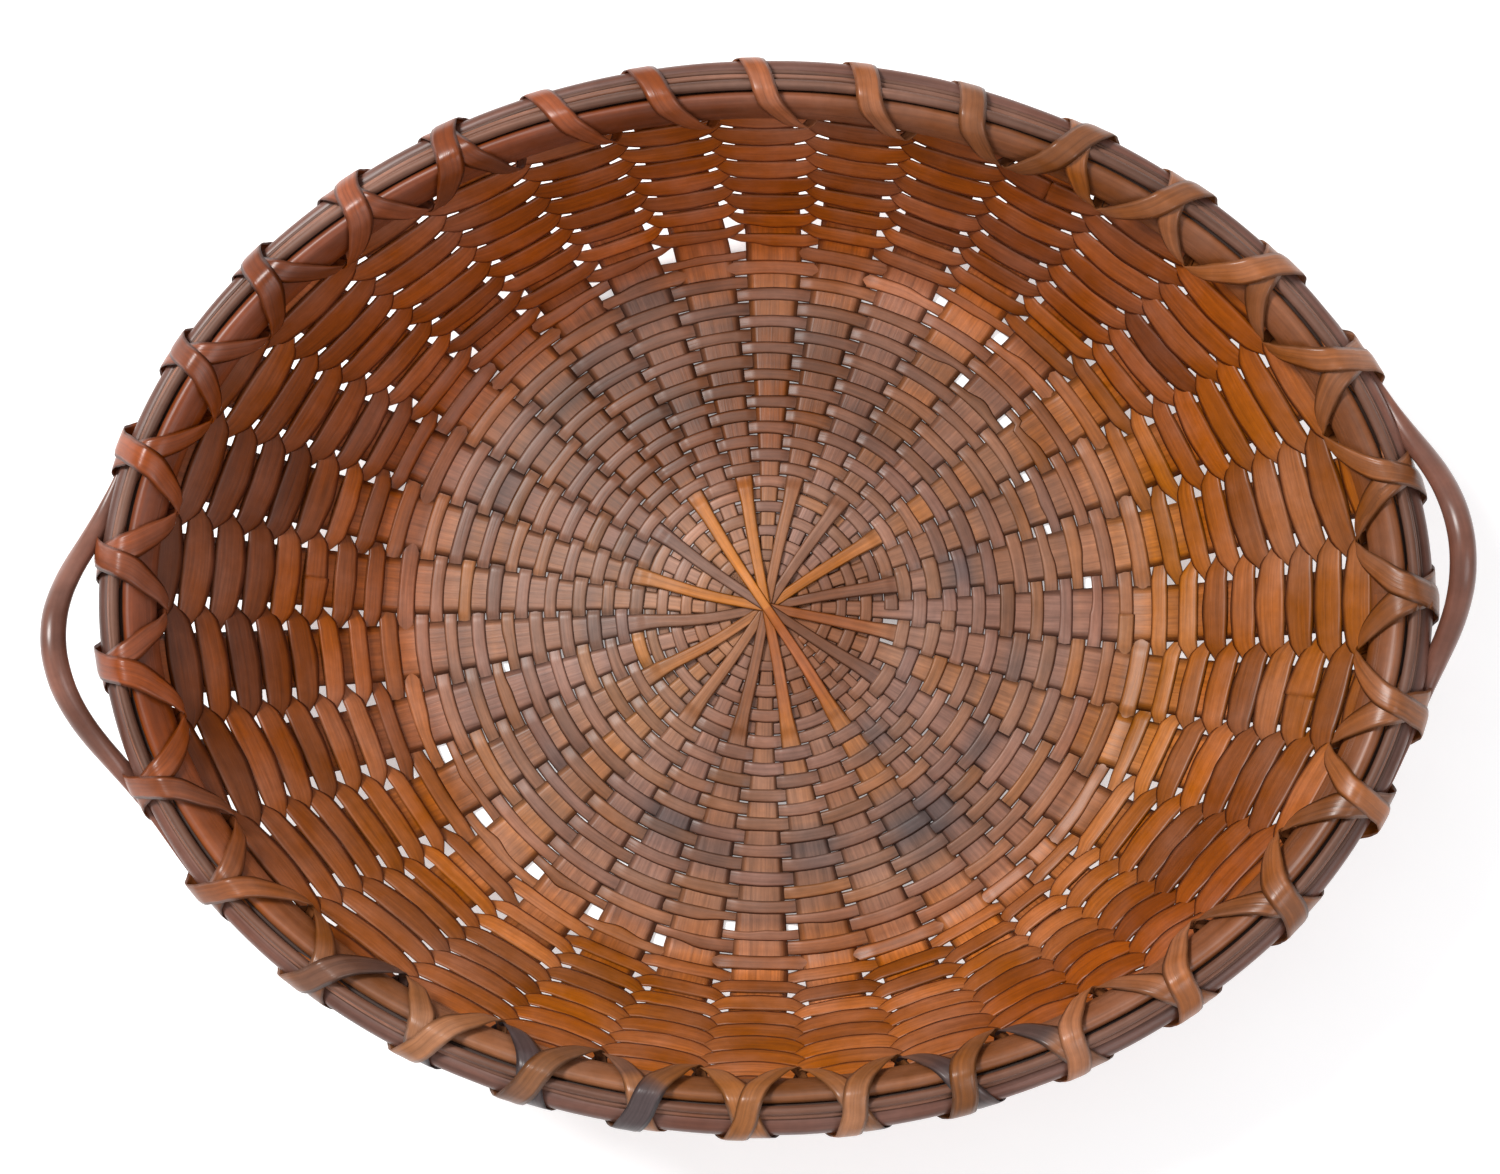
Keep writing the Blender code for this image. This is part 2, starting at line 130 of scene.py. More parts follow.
def place(angle, row):
    """Points of the bowl."""
    turned = in_degrees(angle)
    i = np.clip(turned.astype(int), 0, 359)
    u = turned - i
    down = (np.clip(row, MIDDLE_ROW, RIM_ROW) - MIDDLE_ROW) / ROW_STEP
    k = np.clip(down.astype(int), 0, len(GRID_ROWS) - 2)
    v = down - k

    def read(grid):
        near = grid[i, k] * (1 - u) + grid[i + 1, k] * u
        far = grid[i, k + 1] * (1 - u) + grid[i + 1, k + 1] * u
        return near * (1 - v) + far * v

    r = read(GRID_R)
    return np.stack((r * np.cos(angle), r * np.sin(angle), read(GRID_Z)), -1)


def unit(v):
    return v / np.maximum(np.linalg.norm(v, axis=-1, keepdims=True), 1e-12)


def surface(angle, row):
    """Points of the bowl, with the directions up along it, inwards across it and round it."""
    point = place(angle, row)
    up = place(angle, row + 0.5) - place(angle, row - 0.5)
    out = np.stack((np.cos(angle), np.sin(angle), 0 * angle), -1)
    side = np.stack((-np.sin(angle), np.cos(angle), 0 * angle), -1)
    up = unit(up + out * 1e-9)
    inward = unit(np.cross(side, up))
    inward = np.where(inward[..., 2:3] < 0, -inward, inward)
    return point, up, inward, side


def warp(angle, row):
    """The unevenness of a hand-made basket: where a splint really stands."""
    degrees = in_degrees(angle)
    uneven = -1.2 - 3.4 * np.exp(-((degrees - 196) / 30) ** 2) + 2.8 * np.exp(-((degrees - 333) / 15) ** 2)
    lean = 0.5 - 1.5 * np.sin(2 * angle)
    shift = uneven * smooth(row, 0, STAR_ROW) + lean * smooth(row, 20, 40)
    return angle + np.radians(shift)


def tines_of(spoke):
    return (-1, 1) if spoke == FORKED else (0,)


def stakes(inner):
    """(spoke angle, tine side) round the basket, of the lower splints only or of all."""
    return [(spoke * STEP, tine) for spoke in range(0, SPOKES, 2 if inner else 1) for tine in tines_of(spoke)]


def stake_angle(base, tine, row):
    """Where a stake stands. The two tines spread most in the core."""
    return warp(base, row) + tine * TINE_SPREAD * (1 + 0.5 * (1 - smooth(row, 0, 9)))


# Widths of the splints, in millimetres, at distances from the middle
WIDTH_RADII = (0.0, 0.03, 0.06, 0.08, 0.11, 0.15, 0.195, 0.5)
UPPER_WIDTHS = (5.2, 6.2, 7.6, 11.4, 17.0, 24.0, 31.5, 32.5)
LOWER_WIDTHS = (5.4, 7.6, 9.6, 11.8, 17.0, 24.0, 31.5, 32.5)


def splint_width(radius, tine, upper=False):
    full = np.interp(radius, WIDTH_RADII, UPPER_WIDTHS if upper else LOWER_WIDTHS) * MM
    return full * TINE_WIDTHS[tine]


# Meshes


def value_noise(size, period, seed, octaves=3):
    """Smooth repeatable noise along a line, about -1 to 1."""
    source = np.random.default_rng(seed)
    x = np.arange(size) / period
    total = np.zeros(size)
    for octave in range(octaves):
        knots = source.uniform(-1, 1, int(x[-1] * 2 ** octave) + 3)
        total += np.interp(x * 2 ** octave, np.arange(len(knots)), knots) / 2 ** octave
    return total / 1.5


def distances(points):
    """Distance along a line of points."""
    steps = np.linalg.norm(np.diff(points, axis=0), axis=1)
    return np.concatenate(([0], np.cumsum(steps)))


def make_mesh(name, verts, faces, uv, tint, mat):
    mesh = bpy.data.meshes.new(name)
    mesh.from_pydata(verts.tolist(), [], faces)
    mesh.update()
    loops = np.zeros(len(mesh.loops), np.int32)
    mesh.loops.foreach_get("vertex_index", loops)
    layer = mesh.uv_layers.new(name="strip")
    layer.data.foreach_set("uv", uv[loops].astype(np.float32).ravel())
    colour = mesh.attributes.new("tint", "FLOAT_COLOR", "POINT")
    rgba = np.concatenate((tint, np.ones((len(tint), 1))), 1)
    colour.data.foreach_set("color", rgba.astype(np.float32).ravel())
    mesh.polygons.foreach_set("use_smooth", [True] * len(mesh.polygons))
    mesh.materials.append(mat)
    piece = bpy.data.objects.new(name, mesh)
    bpy.context.scene.collection.objects.link(piece)
    return piece


def ring_faces(count, size, closed, start=0):
    """Faces of a tube of count rings of size points."""
    faces = []
    for i in range(count if closed else count - 1):
        a, b = start + i * size, start + ((i + 1) % count) * size
        for j in range(size):
            k = (j + 1) % size
            faces.append((a + j, a + k, b + k, b + j))
    if not closed:
        faces.append(tuple(range(start + size - 1, start - 1, -1)))
        end = start + (count - 1) * size
        faces.append(tuple(range(end, end + size)))
    return faces


ACROSS = np.linspace(-1, 1, 7)      # places across a strip, from edge to edge


class Parts:
    """Gathers the tubes that make one piece."""

    def __init__(self):
        self.verts, self.faces, self.uv, self.tint, self.count = [], [], [], [], 0

    def tube(self, rings, uv, tint, closed=False):
        n, size = rings.shape[:2]
        self.verts.append(rings.reshape(-1, 3))
        self.faces += ring_faces(n, size, closed, self.count)
        self.uv.append(uv.reshape(-1, 2))
        self.tint.append(tint.reshape(-1, 3))
        self.count += n * size

    def strip(self, lower, upper, normal, thickness, crown, tint_of, v0=0.0):
        """A thin crowned strip between two edges. tint_of(places across) gives its colours."""
        t = (ACROSS[None, :, None] + 1) / 2
        middle = lower[:, None] * (1 - t) + upper[:, None] * t
        bulge = (1 - ACROSS ** 2)[None, :, None] * np.asarray(crown).reshape(-1, 1, 1)
        edge = np.sqrt(np.clip(1 - ACROSS ** 8, 0, 1))[None, :, None]
        half = np.asarray(thickness).reshape(-1, 1, 1) / 2
        top = middle + normal[:, None] * (bulge + half * edge)
        bottom = middle + normal[:, None] * (bulge - half * edge)
        rings = np.concatenate((top, bottom[:, -2:0:-1]), 1)
        width = np.linalg.norm(upper - lower, axis=1)
        u = distances((lower + upper) / 2)
        across = np.concatenate((ACROSS, ACROSS[-2:0:-1]))
        v = across[None, :] * width[:, None] / 2 + v0
        uv = np.stack(np.broadcast_arrays(u[:, None], v), -1)
        self.tube(rings, uv, tint_of(across))

    def done(self, name, mat, nodes):
        piece = make_mesh(name, np.concatenate(self.verts), self.faces, np.concatenate(self.uv),
                          np.concatenate(self.tint), mat)
        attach(piece, "root")
        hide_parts(*nodes)
        return piece


# Colours

FLOOR_TONE = np.array((0.240, 0.104, 0.050))
MAUVE = np.array((0.215, 0.106, 0.078))
AMBER = np.array((0.34, 0.115, 0.022))
# The wall's honey colour where it is painted as lit, and its deep colour where it is painted in shade
LIT_HONEY = np.array((0.35, 0.100, 0.018))
SHADED_DEEP = np.array((0.215, 0.048, 0.010))
STAIN = np.array((0.055, 0.048, 0.052))
LIT_WALL_SIDE = 325        # degrees round the basket where the wall is painted lightest, as if it faced the light; the far side is painted in shade
FADING = np.array((1.0, 1.15, 1.3))     # a lighter strip of the wall is also greyer

# Dark stains: angle in degrees, row, reach in degrees and rows, strength
STAINS = ((11, 12, 7, 1.6, 0.7), (115, 14, 6, 1.5, 0.5), (133, 19, 9, 1.4, 0.6), (155, 19, 8, 1.6, 0.5),
          (187, 10, 8, 2.2, 0.5), (155, 8, 7, 1.4, 0.5), (193, 20, 5, 1.2, 0.4), (245, 15, 9, 1.6, 0.7),
          (258, 16, 6, 1.2, 0.5), (281, 16, 8, 1.6, 0.7), (306, 17, 9, 2.2, 1.0), (326, 16, 6, 1.0, 0.6),
          (346, 16, 7, 1.0, 0.5), (310, 10, 6, 1.6, 0.6), (60, 13, 8, 1.5, 0.35), (80, 18, 9, 1.4, 0.35),
          (218, 17, 9, 1.4, 0.4), (112, 22.6, 5, 1.2, 0.6), (25, 17, 7, 1.2, 0.3))

# Patches of darker or lighter colour, partly the wood's own wear and partly painted light and shade: angle in
# degrees, row, reach in degrees and rows, and factors on the colour
WEAR_AND_SHADE = ((322, 1.5, 62, 5, (0.80, 0.57, 0.30)),
          (165, 1.5, 70, 5, (1.35, 1.36, 1.24)),
          (105, 14.5, 52, 6.5, (0.60, 0.46, 0.33)),
          (40, 18.5, 24, 5, (0.86, 0.78, 0.66)),
          (95, 9, 22, 3, (0.95, 0.85, 0.75)),
          (200, 9, 40, 4, (1.10, 1.20, 1.25)),
          (112, 30, 48, 9, (1.26, 1.15, 0.95)),
          (45, 34, 26, 9, (0.75, 0.62, 0.44)),
          (0, 37, 24, 5, (0.76, 0.80, 0.88)),
          (182, 37, 26, 7, (0.63, 0.58, 0.57)),
          (318, 37, 26, 5, (0.74, 0.59, 0.40)),
          (228, 27, 30, 7, (1.05, 1.15, 1.18)),
          (0, 25, 40, 3, (0.97, 1.14, 1.25)))


# Multiplies in the patches of wear and of painted light and shade
def wear_and_shade(colour, degrees, row):
    for a, r, da, dr, factors in WEAR_AND_SHADE:
        away = apart(degrees, a)
        weight = np.exp(-(away / da) ** 4 - ((row - r) / dr) ** 4)[..., None]
        colour = colour * (1 + (np.array(factors) - 1) * weight)
    return colour


def bowl_colour(angle, row, orange):
    """Colour of the weave at a place. orange, about -1 to 1, moves it from grey-mauve towards amber."""
    degrees = in_degrees(angle)
    wall = smooth(row, 19, 26)
    # painted light and shade: the wall goes from dark on the side away from the light to honey on the side that
    # faces it
    shade = 0.5 + 0.5 * np.cos(np.radians(degrees - LIT_WALL_SIDE))
    wall_tone = SHADED_DEEP + (LIT_HONEY - SHADED_DEEP) * (0.18 + 0.82 * shade ** 0.8)[..., None]
    floor_tone = FLOOR_TONE + (MAUVE - FLOOR_TONE) * (0.5 - 0.5 * np.tanh(orange * 1.5))[..., None]
    warm = np.clip(orange - 0.5, 0, 1)[..., None]
    floor_tone = floor_tone + (AMBER - floor_tone) * warm * 0.8
    wall_tone = wall_tone * (1 + 0.28 * orange[..., None] * FADING)
    colour = floor_tone + (wall_tone - floor_tone) * wall[..., None]
    amount = np.zeros_like(degrees)
    for a, r, da, dr, strength in STAINS:
        away = apart(degrees, a)
        amount = np.maximum(amount, strength * np.exp(-(away / da) ** 2 - ((row - r) / dr) ** 2))
    amount = np.clip(amount, 0, 0.85)[..., None]
    return wear_and_shade(colour + (STAIN - colour) * amount, degrees, row)


# Patches and specks in the wood, for each metre
PATCH_SCALE, SPECK_SCALE = 18.0, 260.0
BUMP_HEIGHT = 0.0006


def wood(name, grain, contrast, depth, coat, rough=(0.34, 0.58)):
    """Split wood: streaks along the strip's own length, soft patches, fine specks and a worn sheen."""
    mat = bpy.data.materials.new(name)
    mat.use_nodes = True
    tree = mat.node_tree
    tree.nodes.clear()
    new, link = tree.nodes.new, tree.links.new

    def math_node(operation, a, b=None, clamp=False):
        node = new("ShaderNodeMath")
        node.operation = operation
        node.use_clamp = clamp
        for i, value in enumerate((a, b)):
            if value is None:
                continue
            if hasattr(value, "links"):
                link(value, node.inputs[i])
            else:
                node.inputs[i].default_value = value
        return node.outputs[0]

    def noise(vector, scale, detail, roughness):
        node = new("ShaderNodeTexNoise")
        node.inputs["Scale"].default_value = scale
        node.inputs["Detail"].default_value = detail
        node.inputs["Roughness"].default_value = roughness
        link(vector, node.inputs["Vector"])
        return node.outputs["Fac"]

    uv = new("ShaderNodeUVMap")
    uv.uv_map = "strip"
    coordinates = new("ShaderNodeTexCoord")

    def stretched(scale_u, scale_v):
        mapping = new("ShaderNodeMapping")
        mapping.inputs["Scale"].default_value = (scale_u, scale_v, 1.0)
        link(uv.outputs[0], mapping.inputs["Vector"])
        return mapping.outputs[0]

    fine = noise(stretched(*grain), 1.0, 4.0, 0.6)
    broad = noise(stretched(grain[0] * 0.35, grain[1] * 0.3), 1.0, 3.0, 0.55)
    patch = noise(coordinates.outputs["Object"], PATCH_SCALE, 4.0, 0.6)
    speck = noise(coordinates.outputs["Object"], SPECK_SCALE, 3.0, 0.6)
    streak = math_node("ADD", math_node("MULTIPLY", fine, 0.6), math_node("MULTIPLY", broad, 0.4))
    value = math_node("ADD", math_node("MULTIPLY", streak, contrast * 2.2), 1.0 - contrast * 1.1)
    value = math_node("MULTIPLY", value, math_node("ADD", math_node("MULTIPLY", patch, 0.7), 0.65))
    value = math_node("MULTIPLY", value, math_node("ADD", math_node("MULTIPLY", speck, 0.36), 0.82))
    attribute = new("ShaderNodeAttribute")
    attribute.attribute_name = "tint"
    adjust = new("ShaderNodeHueSaturation")
    link(attribute.outputs["Color"], adjust.inputs["Color"])
    link(value, adjust.inputs["Value"])
    saturation = math_node("ADD", math_node("MULTIPLY", patch, -0.5), 1.25)
    link(saturation, adjust.inputs["Saturation"])
    bsdf = new("ShaderNodeBsdfPrincipled")
    link(adjust.outputs[0], bsdf.inputs["Base Color"])
    low, high = rough
    spread = math_node("MULTIPLY", math_node("ADD", streak, patch), (high - low) * 0.9)
    roughness = math_node("ADD", spread, low - (high - low) * 0.4, clamp=True)
    link(roughness, bsdf.inputs["Roughness"])
    bsdf.inputs["Coat Weight"].default_value = coat
    bsdf.inputs["Coat Roughness"].default_value = 0.28
    bsdf.inputs["Specular IOR Level"].default_value = 0.36
    bump = new("ShaderNodeBump")
    bump.inputs["Strength"].default_value = depth
    bump.inputs["Distance"].default_value = BUMP_HEIGHT
    link(streak, bump.inputs["Height"])
    link(bump.outputs[0], bsdf.inputs["Normal"])
    output = new("ShaderNodeOutputMaterial")
    link(bsdf.outputs[0], output.inputs["Surface"])
    return mat


SPLINT_WOOD = wood("splint_wood", grain=(26, 620), contrast=0.95, depth=0.5, coat=0.02)
WEAVER_WOOD = wood("weaver_wood", grain=(30, 620), contrast=0.8, depth=0.45, rough=(0.30, 0.55), coat=0.05)
HOOP_WOOD = wood("hoop_wood", grain=(14, 420), contrast=0.9, depth=0.7, rough=(0.30, 0.5), coat=0.1)
FILLER_WOOD = wood("filler_wood", grain=(22, 500), contrast=0.9, depth=0.7, rough=(0.42, 0.66), coat=0.0)
LASHING_WOOD = wood("lashing_wood", grain=(20, 650), contrast=0.9, depth=0.6, rough=(0.24, 0.44), coat=0.15)
HANDLE_WOOD = wood("handle_wood", grain=(12, 300), contrast=0.7, depth=0.4, rough=(0.24, 0.42), coat=0.2)

# Splints

SPLINT = 0.7 * MM           # thickness
CROSSING = 16               # splints stacked at the middle
STACK = 0.5 * MM            # height of each of them there
LEVEL_LAYER = 6.5           # place in the stack that is level with the bowl's surface
UPPER_REST = 2.3 * MM       # height of the upper splints over the core weave
LAND_ROWS = (6.7, 7.7)      # rows over which they come down into the weave
SPLINT_WAVE = 0.15 * MM     # waviness of a splint's surface
SPLINT_CROWN = 0.15 * MM    # rise of its middle over its edges
STACK_ORDER = (0, 1, 2, 3, 7, 6, 4, 5)      # upper splints from the bottom of the crossing to its top
# Tones of the upper splints' spokes, from grey at -1 to amber at 1
UPPER_TONES = {1: -0.3, 3: 0.9, 5: -0.1, 7: 0.25, 9: 1.0, 11: 1.25, 13: -0.9, 15: 0.7,
               17: -0.5, 19: 0.3, 21: 0.2, 23: 0.0, 25: 0.95, 27: 1.2, 29: -0.6, 31: 0.4}


def splint_rows():
    return np.concatenate((np.linspace(MIDDLE_ROW, 0, 16), np.linspace(0.2, CORNER_ROW, 150),
                           np.linspace(CORNER_ROW + 0.1, RIM_ROW, 140)))


def splint_side(spoke, tine, layer, upper):
    """Rows, edges and inward directions of one end of a splint, from the middle outwards."""
    rows = splint_rows()
    angle = stake_angle(np.full(len(rows), spoke * STEP), tine * smooth(rows, -1.5, 1.5), rows)
    point, _, inward, side = surface(angle, rows)
    radius = np.hypot(point[:, 0], point[:, 1])
    width = splint_width(radius, tine, upper)
    if tine:
        width = width + (splint_width(radius, 0) - width) * (1 - smooth(rows, -2.0, 0.5))
    turn = np.where(radius > 0.03, width / 2 / np.maximum(radius, 0.01), 0)
    blend = smooth(radius, 0.05, 0.08)[:, None]
    edges = []
    for way in (-1, 1):
        straight = point + side * way * width[:, None] / 2
        curved = place(angle + way * turn, rows)
        edges.append(straight * (1 - blend) + curved * blend)
    stacked = (layer - LEVEL_LAYER) * STACK
    rest = UPPER_REST if upper else 0.0
    settle = smooth(rows, -2.2, 1.0)
    lift = stacked * (1 - settle) + rest * settle * (1 - smooth(rows, *LAND_ROWS))
    lift = lift + SPLINT_WAVE * value_noise(len(rows), 14, spoke * 7 + 3)
    edges = [e + inward * lift[:, None] for e in edges]
    return rows, edges, inward


def splint_tint(angle, rows, spoke, upper, jitter):
    """Colours along a splint. The free parts of the upper splints, which make the star, keep their own tones."""
    tone = UPPER_TONES.get(spoke, 0.15)
    orange = np.full(len(rows), tone if upper else jitter)
    orange = orange * (1 - 0.75 * smooth(rows, 6, 12)) + jitter * smooth(rows, 6, 12)
    patchy = value_noise(len(rows), 5, spoke * 13 + 1, 2) * smooth(rows, 7, 9)
    colour = bowl_colour(angle, rows, orange + 0.4 * patchy) * (1.08 + 0.22 * patchy)[:, None]
    if upper:
        grey = float(np.clip(0.55 - 0.6 * tone, 0, 1))
        star = (AMBER * (1 - grey) + MAUVE * grey) * (0.8 + 0.2 * tone)
        star = wear_and_shade(star[None] * np.ones((len(rows), 1)), in_degrees(angle), rows)
        colour = colour + (star - colour) * (1 - smooth(rows, 6.5, 9))[:, None]
    return colour


def across_tint(colour, painted_edge_shade=0.25):
    """Colours of a strip with painted shade along its edges."""
    def tint_of(across):
        # painted shade towards the strip's edges
        fade = 1 - painted_edge_shade * np.abs(across) ** 6
        return colour[:, None, :] * fade[None, :, None]
    return tint_of


def splint_end(end, tine, layer, upper, jitter):
    """One end of a splint, with its colours."""
    rows, edges, inward = splint_side(end, tine, layer, upper)
    angle = stake_angle(np.full(len(rows), end * STEP), tine, rows)
    return rows, edges, inward, splint_tint(angle, rows, end % SPOKES, upper, jitter)


def make_splint(spoke, layer, upper, node):
    """A splint from rim to rim. The second tine of a split end is joined to the middle only."""
    parts = Parts()
    jitters = rng.uniform(-0.6, 0.8, 2)
    near, far = ([splint_end(end, tine, layer, upper, jitter) for tine in tines_of(end)]
                 for end, jitter in zip((spoke, spoke + SPOKES // 2), jitters))
    rows_a, edges_a, in_a, tint_a = near[0]
    for rows_b, edges_b, in_b, tint_b in far:
        lower_edge = np.concatenate((edges_b[1][:0:-1], edges_a[0]))
        upper_edge = np.concatenate((edges_b[0][:0:-1], edges_a[1]))
        normal = np.concatenate((in_b[:0:-1], in_a))
        colour = np.concatenate((tint_b[:0:-1], tint_a))
        rows = np.concatenate((rows_b[:0:-1], rows_a))
        thick = SPLINT * (0.5 + 0.5 * smooth(rows, -1.0, 6.0))
        crown = SPLINT_CROWN * smooth(rows, 2, 12)
        parts.strip(lower_edge, upper_edge, normal, thick, crown, across_tint(colour), v0=0.05 * spoke)
        cut = int(np.searchsorted(rows_a, TINE_JOIN))
        rows_a, in_a, tint_a = rows_a[:cut], in_a[:cut], tint_a[:cut]
        edges_a = [edge[:cut] for edge in edges_a]
    return parts.done(node + ".wood", SPLINT_WOOD, [node])


HALF_STACK = CROSSING // 2
for i in range(HALF_STACK):
    make_splint(2 * i, i, False, f"lower_splint_{i + 1}")
for i in range(HALF_STACK):
    make_splint(2 * i + 1, HALF_STACK + STACK_ORDER.index(i), True, f"upper_splint_{i + 1}")

# Weavers

WEAVER = 0.55 * MM          # thickness
FINE = 18                   # sections from one stake to the next
# How far a weaver swings out round a stake, in millimetres, and how much further in front and behind on the wall
SWING, WALL_FRONT, WALL_BACK = 0.64, 1.1, 0.9
CLEARANCE = 0.98            # share of a splint's width that a weaver lies flat across
FLAT_LIMITS = (0.05, 0.45)  # least and most of the way to the next stake that is flat
WEAVER_HALF = 0.49          # half a weaver's width, in rows
# Rows over which the floor turns into the wall, the wall's weave widens, and it goes under the rim
WALL_ROWS, WIDE_ROWS, TUCK_ROWS = (23.5, 27.5), (25.5, 33), (38.8, 40)
GAP_REACH = 5.0             # degrees to each side of a broken gap's middle
# Broken gaps between two rounds: angle in degrees, row, size in rows
GAPS = ((95.5, 24.3, 0.36), (105.5, 24.5, 0.36), (95.5, 26.5, 0.25), (50, 23.2, 0.3), (37, 20.1, 0.36),
        (50, 20.1, 0.36), (203.3, 23.2, 0.25), (214.7, 23.0, 0.30), (226.7, 22.8, 0.36),
        (238.7, 23.0, 0.38), (252, 23.1, 0.3), (191.3, 17.4, 0.2), (264, 21.2, 0.3), (60, 23.2, 0.25),
        (275, 21.0, 0.2), (333, 24.0, 0.15), (118, 24.2, 0.2), (4.3, 21.0, 0.2), (14.7, 18.3, 0.2),
        (26.3, 18.4, 0.2))


def looseness(degrees):
    """Where the wall's weave is more open than elsewhere, and where it is tighter."""
    loose = 0.12 * np.exp(-((degrees - 222) / 20) ** 2) + 0.10 * np.exp(-((degrees - 100) / 40) ** 2)
    return loose - 0.20 * np.exp(-((degrees - 300) / 36) ** 4)


def weaver_lines(first, last, inner):
    """Everything about one length of weaver between two crossings: edges, normals, crown, colours.

    It passes in front of the odd stakes and behind the even ones. count runs from stake to stake, so a whole
    number is the middle of a stake.
    """
    ring = stakes(inner)
    per = len(ring)
    count = np.arange(int((last - first) * FINE) + 1) / FINE + first
    k = np.floor(count).astype(int)
    x = count - k
    row = count / per
    base, tine = np.array([stake[0] for stake in ring]), np.array([stake[1] for stake in ring])

    def at(index):
        i = index % per
        return stake_angle(base[i], tine[i], row) + index // per * 2 * math.pi

    here, there = at(k), at(k + 1)
    angle = here + (there - here) * x
    point, _, inward, _ = surface(angle, row)
    radius = np.hypot(point[:, 0], point[:, 1])
    share = splint_width(radius, 0) / 2 / (radius * (there - here))

    def flat_share(index):
        widths = np.array([TINE_WIDTHS[tine[i % per]] for i in index])
        return np.clip(share * widths * CLEARANCE, *FLAT_LIMITS)

    # h is 1 in front of an odd stake and -1 behind an even one
    start, end = flat_share(k), 1 - flat_share(k + 1)
    t = np.clip((x - start) / (end - start), 0, 1)
    t = 0.35 * t * t * (3 - 2 * t) + 0.65 * t
    sign = np.where(k % 2 == 1, 1.0, -1.0)
    h = sign * (1 - 2 * t)
    wall = smooth(row, *WALL_ROWS)
    high = smooth(row, *WIDE_ROWS)
    tucked = 1 - 0.5 * smooth(row, *TUCK_ROWS)

    # Crests over the odd stakes, hollows behind the even ones, and the span that a crest's wide part covers
    nearest = np.rint(count).astype(int)
    crest = np.cos(math.pi * np.clip(np.abs(count - nearest), 0, 0.5)) ** 2
    bump, dip = np.where(nearest % 2 == 1, crest, 0), np.where(nearest % 2 == 0, crest, 0)
    odd = 2 * np.floor(count / 2).astype(int) + 1
    cover = smooth(0.70 - np.abs(count - odd), 0.0, 0.28)

    # Unevenness: of the nearest stake, of the crest's own stake, and smoothly along
    shake = np.random.default_rng(first + 5)
    jitter = shake.uniform(-1, 1, (last - first + 3, 6))
    j = jitter[nearest - first + 1]
    front = jitter[odd - first + 1]
    smoothed = [np.interp(count, np.arange(first - 1, last + 2), jitter[:, c]) for c in range(6)]

    front_size = (SWING + WALL_FRONT * wall * tucked) * MM
    back_size = (SWING + WALL_BACK * wall * tucked) * MM
    offset = np.where(h > 0, h * front_size, h * back_size)
    offset = offset + bump * (0.12 + 0.26 * wall * (1 + 0.5 * j[:, 0])) * MM
    offset = offset - dip * 0.2 * MM

    # On the wall each crest laps down over the round below, like a shingle, and leaves a small hole beside it
    half = WEAVER_HALF + 0.02 * wall
    degrees = in_degrees(angle)
    loose = looseness(degrees) + 0.20 * smoothed[4]
    opened = np.clip(0.50 + 1.2 * loose, 0, 1) * wall
    reach = 0.14 * wall + (0.60 - 0.6 * loose + 0.10 * front[:, 1]) * high
    lower_row = row - half - reach * (0.55 * cover + 0.45 * bump) + opened * (1 - cover) + 0.08 * smoothed[2]
    upper_row = row + half + 0.08 * smoothed[3] + (0.13 - 0.3 * loose) * high * cover + 0.06 * high * bump
    lower_n = offset + (0.2 * bump + 0.8 * cover) * wall * (1.35 + 0.5 * front[:, 4]) * MM * tucked
    upper_n = offset - cover * wall * (0.55 + 0.3 * front[:, 4]) * MM
    for a, r, size in GAPS:
        away = apart(degrees, a)
        near = size * np.exp(-(away / GAP_REACH) ** 4)
        upper_row = upper_row - near * (np.abs(row + 0.5 - r) < 0.5)
        lower_row = lower_row + near * (np.abs(row - 0.5 - r) < 0.5)
    lower_p, _, lower_in, _ = surface(angle, lower_row)
    upper_p, _, upper_in, _ = surface(angle, upper_row)
    lower = lower_p + lower_in * lower_n[:, None]
    upper = upper_p + upper_in * upper_n[:, None]
    across = unit(upper - lower)
    tangent = unit(np.gradient((lower + upper) / 2, axis=0))
    normal = unit(np.cross(tangent, across))
    normal = np.where((normal * inward).sum(1, keepdims=True) < 0, -normal, normal)
    lengthwise = value_noise(len(count), FINE * 5, first + 17) * 0.9
    orange = lengthwise + 0.55 * front[:, 5]
    colour = bowl_colour(angle, row, orange)
    bright = 1 + 0.22 * smoothed[0] + 0.12 * front[:, 2]
    # painted shade: a weaver is darker where it passes behind a stake
    shade = 1 - 0.15 * (1 - smooth(h, -0.6, 0.6))
    colour = colour * (bright * shade)[:, None]
    crown = (0.20 + 0.08 * j[:, 3] + 0.25 * wall * bump) * MM
    return lower, upper, normal, crown, colour


def make_weaver(name, first, last, inner):
    parts = Parts()
    lower, upper, normal, crown, colour = weaver_lines(first, last, inner)
    parts.strip(lower, upper, normal, WEAVER, crown, across_tint(colour), v0=0.03 * first)
    return parts.done(name + ".wood", WEAVER_WOOD, [name])


# Rows where one length of weaver ends and the next begins
CORE_ROUNDS = (0.0, 3.2, 6.95)
FLOOR_ROUNDS = (7.0, 11.0, 14.0, 16.6, 19.2, 21.2, 23.0)
WALL_ROUNDS = tuple(np.linspace(23.0, 40.3, 9))
for name, rounds, inner, slot in (("core_weaver", CORE_ROUNDS, True, "floor_weaver"),
                                  ("floor_weaver", FLOOR_ROUNDS, False, "floor_weaver"),
                                  ("wall_weaver", WALL_ROUNDS, False, "wall_weaver")):
    counts = [round(r * len(stakes(inner))) for r in rounds]
    for i, (first, last) in enumerate(zip(counts, counts[1:])):
        make_weaver(f"{name}_{i + 1}", first, last, inner)

# Rim


def rim(angle, inwards, upwards):
    """Points beside the splints' upper ends, in millimetres across and up along the wall."""
    point = place(angle, np.full_like(angle, RIM_ROW))
    _, up, inward, _ = surface(angle, np.full_like(angle, RIM_ROW - 1.0))
    return point + inward * (inwards * MM)[..., None] + up * (upwards * MM)[..., None]


